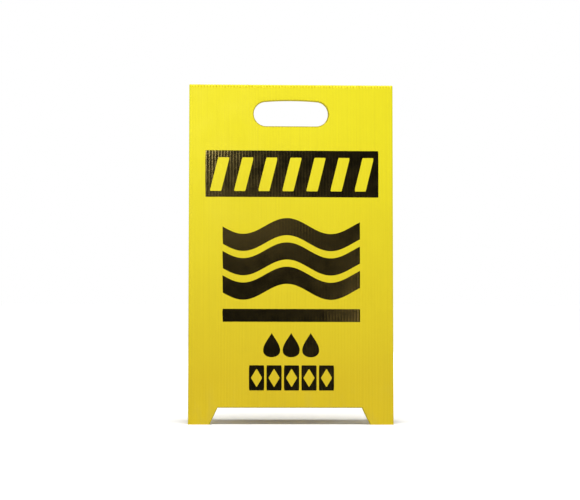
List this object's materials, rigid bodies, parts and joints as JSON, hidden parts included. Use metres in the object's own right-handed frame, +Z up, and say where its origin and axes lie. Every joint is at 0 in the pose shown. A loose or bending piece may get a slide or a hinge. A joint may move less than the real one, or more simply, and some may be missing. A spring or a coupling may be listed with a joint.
{
  "type": "wet floor sign",
  "caption": "Fold-up A-frame floor sign of fluted plastic board, with a hand hole, notched feet and a webbing stay between its leaves.",
  "frame": {"origin": "on the floor, midway between the two leaves and midway across the width, with the sign standing open", "axes": "+X across the width, to the right of a person facing the front leaf; +Y from the front leaf to the rear leaf; +Z up"},
  "size_m": [0.3048, 0.0966, 0.5061],
  "materials": {
    "board": "satin yellow fluted polypropylene with faint vertical ribs",
    "creased_board": "crushed and folded fluted polypropylene, slightly paler where it is creased",
    "ink": "semi-gloss black screen print over the ribs of the board",
    "hook_tape": "black nylon hook tape",
    "loop_tape": "black brushed nylon loop tape",
    "webbing": "black woven polypropylene webbing"
  },
  "bodies": {
    "front_leaf": {"front_leaf": "board", "front_hook_patch": "hook_tape", "front_loop_patch": "loop_tape", "stay_strap": "webbing"},
    "fold_spine": {"fold_spine": "creased_board"},
    "rear_leaf": {"rear_leaf": "board", "rear_hook_patch": "hook_tape", "rear_loop_patch": "loop_tape"}
  },
  "joints": [
    {"name": "front_crease", "type": "hinge", "parent": "front_leaf", "child": "fold_spine", "pos_m": [0, -0.0045, 0.50109], "axis": [-1, 0, 0], "range_deg": [0, 4.4], "deforming": ["stay_strap"]},
    {"name": "rear_crease", "type": "hinge", "parent": "fold_spine", "child": "rear_leaf", "pos_m": [0, 0.0045, 0.50109], "axis": [-1, 0, 0], "range_deg": [0, 4.4], "deforming": ["stay_strap"]}
  ],
  "couplings": [
    {"joint": "rear_crease", "follows": "front_crease", "ratio": 1}
  ]
}
